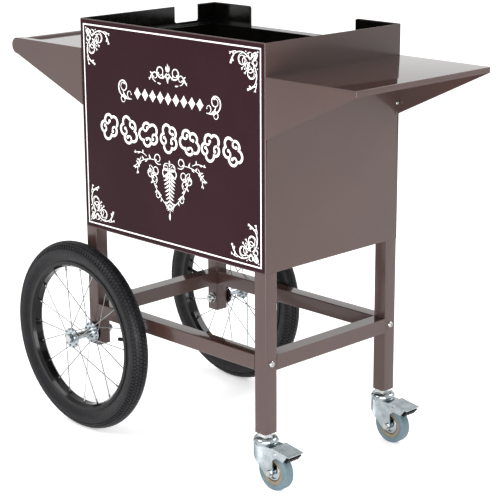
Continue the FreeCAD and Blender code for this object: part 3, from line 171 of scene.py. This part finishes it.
def graphic_film():
    """Dark brown printed vinyl, faintly mottled by the print and softer than the paint."""
    material, tree = new_material("graphic_film_look")
    where = place_on_object(tree)
    base = mottled(tree, where, 7, 3, colour(33, 13, 18), colour(37, 16, 22))
    raster = mottled(tree, where, 900, 2, colour(32, 16, 20), colour(76, 52, 58))
    finish_material(tree, {
        "Base Color": mix(tree, 0.08, base, raster),
        "Roughness": ramp(tree, noise(tree, where, 60, 4), 0.10, 0.16),
        "Specular IOR Level": 0.06, "Normal": bump(tree, noise(tree, where, 380, 2), 0.01)})
    return material


def print_white():
    """White ink on the film, slightly uneven."""
    material, tree = new_material("print_white_look")
    where = place_on_object(tree)
    finish_material(tree, {
        "Base Color": mottled(tree, where, 260, 3, colour(232, 229, 228), colour(250, 249, 247)),
        "Roughness": 0.4, "Specular IOR Level": 0.3,
        "Normal": bump(tree, noise(tree, where, 700, 2), 0.01)})
    return material


def plated(name, low, high, roughness):
    """Plated steel: cloudy tone, fine scratches and slightly uneven gloss."""
    material, tree = new_material(name)
    where = place_on_object(tree)
    scratch = noise(tree, where, 900, 4, 0.7)
    finish_material(tree, {
        "Base Color": mottled(tree, where, 60, 3, low, high), "Metallic": 1.0,
        "Roughness": ramp(tree, scratch, roughness - 0.04, roughness + 0.05),
        "Normal": bump(tree, scratch, 0.004)})
    return material


def zinc():
    return plated("zinc_look", colour(146, 154, 158), colour(172, 180, 184), 0.15)


def fastener():
    return plated("fastener_look", colour(164, 166, 166), colour(186, 188, 187), 0.17)


def spoke_steel():
    return plated("spoke_steel_look", colour(128, 130, 131), colour(150, 152, 153), 0.2)


def bearing_steel():
    return plated("bearing_steel_look", colour(120, 121, 122), colour(160, 160, 160), 0.3)


def rim_black():
    """Gloss black enamel of the rims."""
    material, tree = new_material("rim_black_look")
    where = place_on_object(tree)
    finish_material(tree, {
        "Base Color": mottled(tree, where, 40, 3, colour(8, 8, 9), colour(14, 14, 15)),
        "Roughness": ramp(tree, noise(tree, where, 80, 3), 0.08, 0.14),
        "Specular IOR Level": 0.22, "Normal": bump(tree, noise(tree, where, 500, 2), 0.02)})
    return material


def rubber(name, low, high, roughness, grain=0.06):
    """Moulded rubber with a dusty, uneven tone and a fine grain."""
    material, tree = new_material(name)
    where = place_on_object(tree)
    cloud = ramp(tree, noise(tree, where, 60, 5, 0.65), 0, 1)
    finish_material(tree, {
        "Base Color": mix(tree, cloud, low, high),
        "Roughness": ramp(tree, noise(tree, where, 150, 3), roughness - 0.06, roughness + 0.08),
        "Specular IOR Level": 0.2, "Normal": bump(tree, noise(tree, where, 1600, 2), grain)})
    return material


def tyre_rubber():
    return rubber("tyre_rubber_look", colour(14, 14, 16), colour(23, 23, 26), 0.42)


def tube_rubber():
    return rubber("tube_rubber_look", colour(20, 20, 20), colour(30, 30, 30), 0.6)


def caster_rubber():
    return rubber("caster_rubber_look", colour(82, 99, 106), colour(92, 110, 117), 0.5, 0.04)


def moulded(name, low, high, roughness, shine=0.5):
    """Moulded plastic with a fine spark-eroded texture."""
    material, tree = new_material(name)
    where = place_on_object(tree)
    finish_material(tree, {
        "Base Color": mottled(tree, where, 110, 4, low, high), "Specular IOR Level": shine,
        "Roughness": ramp(tree, noise(tree, where, 200, 3), roughness - 0.05, roughness + 0.05),
        "Normal": bump(tree, noise(tree, where, 2200, 2), 0.03)})
    return material


def black_plastic():
    return moulded("black_plastic_look", colour(3, 3, 3), colour(8, 8, 8), 0.4, 0.1)


def caster_core():
    return moulded("caster_core_look", colour(108, 99, 84), colour(122, 112, 96), 0.45, 0.2)


def knob_plastic():
    return moulded("knob_plastic_look", colour(16, 16, 16), colour(24, 24, 24), 0.3)


LOOKS = {make.__name__: make() for make in (
    cabinet_paint, well_black, graphic_film, zinc, fastener, spoke_steel, rim_black, tyre_rubber,
    tube_rubber, black_plastic, bearing_steel, caster_rubber, caster_core, knob_plastic)}
WHITE = print_white()


def dress_cad_nodes():
    """Give every CAD node the look of its own material slot."""
    for node in nodes.values():
        for slot in node.material_slots:
            slot.material = LOOKS[slot.material.name]


# ---------------------------------------------------------------- softened edges of the CAD nodes
SHARP_ANGLE = math.radians(35)
JOIN_DISTANCE = 0.002 * MM


def shading_rule():
    """Modifier group: joins doubled points, smooths faces and keeps edges above the sharp angle crisp."""
    rule = bpy.data.node_groups.new("soft_edges", "GeometryNodeTree")
    rule.interface.new_socket("Geometry", in_out="INPUT", socket_type="NodeSocketGeometry")
    rule.interface.new_socket("Geometry", in_out="OUTPUT", socket_type="NodeSocketGeometry")
    make = rule.nodes.new
    start, end = make("NodeGroupInput"), make("NodeGroupOutput")
    join = make("GeometryNodeMergeByDistance")
    join.inputs["Distance"].default_value = JOIN_DISTANCE
    plain = make("GeometryNodeRemoveAttribute")
    plain.inputs["Name"].default_value = "custom_normal"
    smooth = make("GeometryNodeSetShadeSmooth")
    angle = make("GeometryNodeInputMeshEdgeAngle")
    sharp = make("FunctionNodeCompare")
    sharp.inputs["B"].default_value = SHARP_ANGLE
    crisp = make("GeometryNodeSetShadeSmooth")
    crisp.domain = "EDGE"
    crisp.inputs["Shade Smooth"].default_value = False
    link = rule.links.new
    link(start.outputs[0], join.inputs["Geometry"])
    link(join.outputs["Geometry"], plain.inputs["Geometry"])
    link(plain.outputs["Geometry"], smooth.inputs["Geometry"])
    link(smooth.outputs["Geometry"], crisp.inputs["Geometry"])
    link(angle.outputs["Unsigned Angle"], sharp.inputs["A"])
    link(sharp.outputs["Result"], crisp.inputs["Selection"])
    link(crisp.outputs["Geometry"], end.inputs[0])
    return rule


# width of the rounded edges, millimetres, by material slot
EDGE_WIDTHS = {"cabinet_paint": 0.5, "well_black": 0.4, "graphic_film": 0.05, "zinc": 0.35, "fastener": 0.3,
               "black_plastic": 0.5, "knob_plastic": 0.6, "rim_black": 0.5, "caster_core": 0.5,
               "caster_rubber": 0.6}
SOFT_RULE = shading_rule()


def soften(node, width):
    """Round a piece's edges a little, so that they catch the light."""
    shading = node.modifiers.new("shading", "NODES")
    shading.node_group = SOFT_RULE
    if width:
        round_over = node.modifiers.new("round_over", "BEVEL")
        round_over.width = width * MM
        round_over.segments = 2
        round_over.limit_method = "ANGLE"
        round_over.angle_limit = SHARP_ANGLE
        round_over.harden_normals = True


def soften_cad_nodes():
    """Every node by its slot's edge width; the door keeps only its own bends, already round."""
    for name, node in nodes.items():
        slot = node.material_slots[0].material.name.removesuffix("_look")
        soften(node, None if name == "door_panel" else EDGE_WIDTHS.get(slot))


# ---------------------------------------------------------------- pieces
def piece(name, points, faces, material, body):
    """New mesh piece that rides on a CAD body."""
    mesh = bpy.data.meshes.new(name)
    mesh.from_pydata(points, [], faces)
    mesh.materials.append(material)
    mesh.validate()
    made = bpy.data.objects.new(name, mesh)
    bpy.context.scene.collection.objects.link(made)
    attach(made, body)
    return made


def onward(spot, heading, stride):
    """Flat point one stride from a spot; the heading is in degrees."""
    way = math.radians(heading)
    return spot[0] + stride * math.cos(way), spot[1] + stride * math.sin(way)


# pitches of the tread pattern round the tyre
PITCHES = 150
# tread rows across the tyre: lower and upper angle, where the gap of a pitch begins and how wide it is
TREAD_ROWS = ((-70, -53, 0.5, 0.36), (-49, -35, 0.0, 0.14), (-31, -13, 0.5, 0.14), (-9, 9, 0.0, 0.14),
              (13, 31, 0.5, 0.14), (35, 49, 0.0, 0.14), (53, 70, 0.5, 0.36))
GAP_SLOPE = 0.03
TREAD_DEPTH = 1.8 * MM
# degrees round the section from a row's edge to the floor of the groove beside it
GROOVE_WALL = 0.9
# moulded rings on a sidewall: degrees round the section, and how far they stand out
SIDE_RINGS = (82, 96, 110, 124)
RING_HEIGHT = 0.4 * MM
# shares of the section's radius: a bead's corners, inwards and sideways, and the inner face of the tyre
BEAD = ((0.95, 0.62), (1.28, 0.60), (1.28, 0.42))
INNER_FACE = 0.82


def tread_stations():
    """Angles across the tread, 0 at the crown, each with its row or None in the grooves between rows."""
    stations = []
    for row in TREAD_ROWS:
        low, high = row[:2]
        stations.append((low - GROOVE_WALL, None))
        stations += [(low + (high - low) * step / 4, row) for step in range(5)]
        stations.append((high + GROOVE_WALL, None))
    return stations


def side_stations():
    """Angles down a sidewall, with the height of its surface there."""
    shoulder, crown, foot, between = 73, 1.2, 2.4, 7
    stations = [(shoulder, 0.0)]
    for ring in SIDE_RINGS:
        stations += [(ring - foot, 0.0), (ring - crown, RING_HEIGHT), (ring + crown, RING_HEIGHT),
                     (ring + foot, 0.0), (ring + between, 0.0)]
    return stations


def pitch_stations():
    """Shares of a pitch where a gap's wall begins or ends."""
    shares = {0.25, 0.75}
    for row in TREAD_ROWS:
        start, width = row[2:]
        shares |= {start, start + GAP_SLOPE, start + width, start + width + GAP_SLOPE}
    return sorted(round(share, 3) for share in shares)


def in_gap(row, share):
    start, width = row[2:]
    return start + GAP_SLOPE / 2 < share < start + width + GAP_SLOPE / 2


def tyre_loop(ring, section, share):
    """Cross-section of the tyre as (radius, sideways) pairs, at one share of a tread pitch."""
    wall = section - 0.5 * TREAD_DEPTH
    side = [(angle, wall + rise) for angle, rise in side_stations()]
    outside = [(-angle, reach) for angle, reach in reversed(side)]
    for angle, row in tread_stations():
        deep = row is None or in_gap(row, share)
        outside.append((angle, section - (TREAD_DEPTH if deep else 0.0)))
    outside += side
    loop = [onward((ring, 0.0), angle, reach) for angle, reach in outside]
    bead = [(ring - inwards * section, sideways * section) for inwards, sideways in BEAD]
    inside = [onward((ring, 0.0), angle, INNER_FACE * section) for angle in range(140, -141, -20)]
    return loop + bead + inside + [(radius, -sideways) for radius, sideways in reversed(bead)]


def tyre(tag):
    """Tyre with a block tread, sidewalls with faint moulded rings, and beads inside the rim."""
    low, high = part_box(f"{tag}_tyre")
    centre = (low + high) / 2
    section = (high.y - low.y) / 2
    ring = (high.z - low.z) / 2 - section
    shares = pitch_stations()
    loops = [tyre_loop(ring, section, share) for share in shares]
    points, faces = [], []
    for pitch in range(PITCHES):
        for share, loop in zip(shares, loops):
            spin = 2 * math.pi * (pitch + share) / PITCHES
            forward, upward = math.cos(spin), math.sin(spin)
            points += [(centre.x + radius * forward, centre.y + sideways, centre.z + radius * upward)
                       for radius, sideways in loop]
    per_loop = len(loops[0])
    rounds = PITCHES * len(shares)
    for index in range(rounds):
        this, following = index * per_loop, (index + 1) % rounds * per_loop
        for step in range(per_loop):
            other = (step + 1) % per_loop
            faces.append((this + step, following + step, following + other, this + other))
    made = piece(f"{tag}_tread_tyre", points, faces, LOOKS["tyre_rubber"], f"{tag}_wheel")
    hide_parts(f"{tag}_tyre")
    soften(made, None)


# ---------------------------------------------------------------- printed front
# The print is drawn flat, in millimetres: across from the middle of the cabinet, up from its lower edge.
# A shape is its points and its faces. Ornaments are drawn about their own origin and then shifted.
def ribbon(path, widths):
    """Strip along a path, with a width for every point of it."""
    points = []
    for index, (spot, width) in enumerate(zip(path, widths)):
        before, after = path[max(index - 1, 0)], path[min(index + 1, len(path) - 1)]
        heading = math.atan2(after[1] - before[1], after[0] - before[0])
        aside = (-math.sin(heading) * width / 2, math.cos(heading) * width / 2)
        points += [(spot[0] + aside[0], spot[1] + aside[1]), (spot[0] - aside[0], spot[1] - aside[1])]
    corners = range(0, 2 * len(path) - 2, 2)
    return points, [(corner, corner + 1, corner + 3, corner + 2) for corner in corners]


def fan(centre, rim):
    """Flat shape from its middle to a closed rim of points."""
    count = len(rim)
    return [centre] + rim, [(0, 1 + index, 1 + (index + 1) % count) for index in range(count)]


def disc(centre, radius, corners=14):
    return fan(centre, [onward(centre, 360 * step / corners, radius) for step in range(corners)])


def leaf(base, heading, length, width):
    """Pointed leaf that bends a little as it grows."""
    tip_width, steps = 0.3, 8
    path, widths = [base], [tip_width]
    for step in range(1, steps + 1):
        path.append(onward(path[-1], heading + 4 * step, length / steps))
        widths.append(tip_width + width * math.sin(math.pi * (step / steps) ** 0.8))
    return ribbon(path, widths)


def curl(start, heading, length, turn, width, late=1.4):
    """Scroll that winds up into a bulb; turn is all its turning in degrees, late how far out it begins."""
    thin = 0.35
    steps = 12 + round(abs(turn) / 14)
    path, widths = [start], [thin * width]
    for step in range(1, steps + 1):
        share = step / steps
        path.append(onward(path[-1], heading + turn * share ** late, length / steps))
        widths.append(width * (thin + (1 - thin) * math.sin(math.pi * share ** 0.7)))
    return [ribbon(path, widths), disc(path[-1], 0.8 * width)]


def vine(start, heading, length, turn, count, size):
    """Thin stem that bends evenly, with leaves in turn on its two sides and one at its tip."""
    stem_width, bud = 1.3, 0.7
    steps = 3 * count
    path, leaves = [start], []
    for step in range(1, steps + 1):
        bend = heading + turn * step / steps
        path.append(onward(path[-1], bend, length / steps))
        if step % 3 == 0:
            small = size * (1 - 0.4 * step / steps)
            side = 50 if step % 2 else -50
            leaves += [leaf(path[-1], bend + side, small, 0.3 * small), disc(path[-2], bud)]
    tip = leaf(path[-1], bend, 0.7 * size, 0.22 * size)
    return [ribbon(path, [stem_width] * len(path)), tip] + leaves


def star(centre, radius):
    """Small diamond with hollow sides."""
    def drawn_in(value):
        return math.copysign(abs(value) ** 2.2, value)

    turns = [2 * math.pi * step / 24 for step in range(24)]
    return fan(centre, [(centre[0] + 0.8 * radius * drawn_in(math.cos(turn)),
                         centre[1] + radius * drawn_in(math.sin(turn))) for turn in turns])


def changed(shapes, rule):
    """Copy of some shapes with every point put through a rule."""
    return [([rule(across, up) for across, up in points], faces) for points, faces in shapes]


def shifted(shapes, right, rise):
    return changed(shapes, lambda across, up: (across + right, up + rise))


def mirrored(shapes):
    """Copy mirrored left to right."""
    return changed(shapes, lambda across, up: (-across, up))


def corner_ornament():
    """Scrollwork that fills a square corner, mirrored about the diagonal."""
    half = curl((21, 17), -62, 66, 138, 2.1, 1.0) + curl((40, 6), 6, 76, 480, 1.7, 1.2)
    half += curl((27, 12), -8, 40, 330, 1.4, 1.5) + curl((12, 9), 52, 30, -300, 1.2)
    half += vine((62, 12), 40, 13, 30, 2, 8) + vine((56, 4), -4, 14, 30, 2, 8)
    half += vine((26, 21), 28, 18, 20, 2, 7)
    half += [leaf((36, 9), 96, 9, 2.0), leaf((24, 13), 150, 8, 1.8), leaf((3, 1), 12, 18, 2.2),
             leaf((10, 7), 22, 11, 2.0), leaf((20, 3), 4, 9, 2.0), disc((31, 2), 1.2), disc((65, 22), 1.5)]
    middle = [leaf((3, 3), 37, 14, 2.4), leaf((20, 20), 37, 15, 3.0), disc((0.5, 0.5), 1.3),
              disc((34, 34), 1.5)]
    return half + changed(half, lambda across, up: (up, across)) + middle


def crest():
    """Low double scroll with a leaf standing in its middle."""
    half = curl((3, 22), -58, 84, 470, 2.6, 1.5) + curl((34, 2), 16, 52, 400, 2.0, 1.5)
    half += curl((4, 20), -80, 26, -300, 1.5) + vine((40, 20), -20, 16, -50, 3, 8)
    half += [leaf((2, 24), 60, 12, 3), leaf((12, 10), 62, 10, 2.6), leaf((20, 0), -10, 10, 2.4),
             disc((30, 24), 1.3)]
    return half + mirrored(half) + [leaf((0, 24), 74, 16, 5), leaf((0, 14), -106, 12, 4)]


def side_curls():
    """Lying scroll beside the row of diamonds, its big coil outwards."""
    shapes = curl((0, -10), -6, 128, 560, 2.8, 1.9) + curl((12, -11), 50, 46, -330, 1.9, 1.6)
    return shapes + curl((6, -10), 20, 30, 250, 1.6) + [leaf((16, -10), 36, 18, 3.0)]


def hanging_ornament():
    """Tapering ornament: a fern of paired leaves hangs to a point, scrolls and sprigs spread above it."""
    half = []
    for step in range(10):
        reach = 22 - 1.5 * step
        half.append(leaf((0.6, -30 - 8 * step), -52, reach, 0.2 * reach))
    half += curl((1, -30), 60, 62, -420, 2.1, 1.2) + curl((24, -18), -20, 66, 430, 1.9)
    half += curl((56, -24), -160, 70, 430, 2.0) + curl((53, -34), -120, 60, -420, 1.8)
    half += curl((42, -60), 150, 52, -400, 1.6, 1.3) + curl((36, -72), -165, 40, 400, 1.5)
    half += curl((10, -90), -40, 24, -360, 1.3) + curl((4, -14), 10, 46, -400, 1.7)
    half += vine((58, -24), -100, 92, -46, 9, 11) + vine((44, -12), 4, 60, -44, 6, 11)
    half += vine((82, -12), -50, 32, -34, 4, 10) + vine((66, -8), 34, 32, -50, 3, 9)
    knots = range(11)
    stem = ribbon([(0, -22 - 9 * knot) for knot in knots], [2.4 - 0.15 * knot for knot in knots])
    return half + mirrored(half) + [stem, leaf((0, -112), -108, 14, 4.4), leaf((0, -20), 74, 13, 4.0)]


def kernel(centre, size, turn):
    """Popped kernel in outline: uneven lobes round its edge and three folds that run in from them."""
    round_steps, overlap = 70, 2
    rim = []
    for step in range(round_steps + overlap):
        angle = 2 * math.pi * step / round_steps
        lobe = abs(math.sin(2.5 * angle)) ** 0.7
        reach = size * (0.29 + 0.13 * lobe + 0.04 * math.sin(2 * angle))
        rim.append(onward(centre, math.degrees(angle + turn), reach))
    folds = []
    for start in (0, 28, 42):
        inward = math.degrees(math.atan2(centre[1] - rim[start][1], centre[0] - rim[start][0]))
        folds += curl(rim[start], inward - 20, 0.27 * size, 140, 0.07 * size, 1.2)
    return [ribbon(rim, [0.085 * size] * len(rim))] + folds


def row_middles(width, count):
    """Middles of the places in a row that lies about the cabinet's middle."""
    return [width * ((index + 0.5) / count - 0.5) for index in range(count)]


def popped_row(width, level, height, count):
    """Row of popped kernels, every one turned a little further."""
    shapes = []
    for index, across in enumerate(row_middles(width, count)):
        shapes += kernel((across, level), 1.06 * height, 1.3 * index)
    return shapes


def diamond_row(width, level, height, count):
    return [star((across, level), height / 2) for across in row_middles(width, count)]


def four_corners(width, height, inset):
    """The corner ornament in every corner."""
    left = shifted(corner_ornament(), inset - width / 2, inset)
    left += changed(left, lambda across, up: (across, height - up))
    return left + mirrored(left)


def print_shapes(width, height):
    """Everything inside the border, row by row."""
    side = shifted(side_curls(), right=106, rise=292)
    shapes = four_corners(width, height, inset=17) + side + mirrored(side)
    shapes += shifted(crest(), right=0, rise=322)
    shapes += diamond_row(width=200, level=295, height=24, count=9)
    shapes += popped_row(width=410, level=218.5, height=57, count=7)
    return shapes + shifted(hanging_ornament(), right=0, rise=183)


def border_shape(width, height, inset, line):
    """White line round the film."""
    points = []
    for edge in (inset - line / 2, inset + line / 2):
        side, low, high = width / 2 - edge, edge, height - edge
        points += [(-side, low), (side, low), (side, high), (-side, high)]
    return points, [(step, (step + 1) % 4, (step + 1) % 4 + 4, step + 4) for step in range(4)]


def front_print():
    """White ink in thin layers on the film, each shape a hair above the one before."""
    low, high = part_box("cabinet_shell")
    middle, width, height = (low.x + high.x) / 2, (high.x - low.x) / MM, (high.z - low.z) / MM
    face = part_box("front_graphic")[0].y
    shapes = [border_shape(width, height, inset=11.0, line=2.6)] + print_shapes(width, height)
    above_film, layer = 0.08 * MM, 0.0001 * MM
    points, faces = [], []
    for number, (spots, sides) in enumerate(shapes):
        level = face - above_film - layer * number
        faces += [tuple(len(points) + corner for corner in side) for side in sides]
        points += [(middle + across * MM, level, low.z + up * MM) for across, up in spots]
    ink = piece("front_print", points, faces, WHITE, "cart")
    thick = ink.modifiers.new("thickness", "SOLIDIFY")
    thick.thickness = 0.06 * MM
    thick.offset = 0.0


# ---------------------------------------------------------------- studio
def stage_panel(name, corners, material):
    """Four-cornered panel that belongs to the studio."""
    mesh = bpy.data.meshes.new(name)
    mesh.from_pydata(corners, [], [(0, 1, 2, 3)])
    mesh.materials.append(material)
    made = bpy.data.objects.new(name, mesh)
    bpy.context.scene.collection.objects.link(made)
    return made


def floor():
    """Wide pale floor that fades into the white background."""
    material, tree = new_material("studio_floor")
    where = place_on_object(tree)
    shade = mix(tree, noise(tree, where, 3, 2), colour(244, 244, 244), colour(250, 250, 250))
    finish_material(tree, {"Base Color": shade, "Roughness": 0.9, "Specular IOR Level": 0.1,
                           "Emission Color": (1, 1, 1, 1), "Emission Strength": 0.30})
    reach = 40.0
    stage_panel("studio_floor", [(-reach, -reach, 0), (reach, -reach, 0), (reach, reach, 0),
                                 (-reach, reach, 0)], material)


def area_light(name, spot, aim, power, width, height):
    """Soft box at a spot, aimed at another."""
    data = bpy.data.lights.new(name, "AREA")
    data.energy = power
    data.shape = "RECTANGLE"
    data.size = width
    data.size_y = height
    lamp = bpy.data.objects.new(name, data)
    lamp.location = spot
    lamp.rotation_mode = "QUATERNION"
    lamp.rotation_quaternion = (Vector(aim) - Vector(spot)).to_track_quat("-Z", "Y")
    lamp.visible_camera = False
    bpy.context.scene.collection.objects.link(lamp)


def card(name, place, shade, glow=0.0):
    """Upright card across X that only reflections show; place is its x, y range, base and top."""
    material, tree = new_material(name)
    cloud = noise(tree, place_on_object(tree), 20, 2)
    tone = mix(tree, cloud, colour(*shade, 0.85), colour(*shade, 1.15))
    finish_material(tree, {"Base Color": tone, "Roughness": 0.8, "Specular IOR Level": 0.0,
                           "Emission Color": (1, 1, 1, 1), "Emission Strength": glow})
    x, (near, far), base, top = place
    made = stage_panel(name, [(x, near, base), (x, far, base), (x, far, top), (x, near, top)], material)
    made.visible_camera = False
    made.visible_diffuse = False
    made.visible_shadow = False


def reflection_cards():
    """A card over the right wall keeps the shelf's inner half dark; two by each fork streak its zinc."""
    low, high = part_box("cabinet_shell")
    card("card_over_wall", (high.x - 1 * MM, (low.y, high.y), high.z, high.z + 45 * MM), (62, 54, 53))
    for tag in ("front_caster", "rear_caster"):
        low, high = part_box(f"{tag}_fork")
        behind, top = low.x - 60 * MM, low.z + 30 * MM
        split, streak = low.y - 72 * MM, 12 * MM
        card(f"{tag}_dark_card", (behind, (split, high.y + 100 * MM), 0.0, top), (176, 181, 184))
        card(f"{tag}_bright_card", (behind, (split - streak, split), 0.0, top), (240, 240, 240), 2.0)


def studio():
    world = bpy.data.worlds.new("studio")
    world.use_nodes = True
    sky = world.node_tree.nodes["Background"]
    sky.inputs["Color"].default_value = (1, 1, 1, 1)
    sky.inputs["Strength"].default_value = 1.0
    bpy.context.scene.world = world
    bpy.context.scene.view_settings.view_transform = "Standard"
    floor()
    reflection_cards()
    cart_middle = (cad_box[0] + cad_box[1]) / 2
    low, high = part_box("cabinet_shell")
    near_corner = (high.x, low.y, 0.5)
    area_light("key", (-1.2, -3.2, 3.4), cart_middle, power=82, width=2.2, height=2.2)
    area_light("back", (1.4, 3.2, 3.1), cart_middle, power=70, width=2.4, height=1.6)
    area_light("corner_glint", (1.25, -1.18, 0.36), near_corner, power=26, width=1.6, height=0.64)


# camera: focal length in millimetres, azimuth, elevation and roll in degrees, position in metres
LENS = 116.36
CAMERA_ANGLES = (45.58, 15.40, -0.303)
CAMERA_SPOT = (2.27295, -2.19618, 1.25623)


def camera():
    """Camera at the photograph's place: lens, position, heading, tilt and a slight roll."""
    data = bpy.data.cameras.new("camera")
    data.lens = LENS
    data.sensor_width = 36.0
    data.clip_end = 200.0
    made = bpy.data.objects.new("camera", data)
    azimuth, elevation, roll = (math.radians(angle) for angle in CAMERA_ANGLES)
    turn = Matrix.Rotation(azimuth, 3, "Z") @ Matrix.Rotation(math.pi / 2 - elevation, 3, "X")
    made.rotation_euler = (turn @ Matrix.Rotation(roll, 3, "Z")).to_euler()
    made.location = CAMERA_SPOT
    bpy.context.scene.collection.objects.link(made)
    bpy.context.scene.camera = made


dress_cad_nodes()
soften_cad_nodes()
for wheel in ("front", "rear"):
    tyre(wheel)
front_print()
studio()
camera()
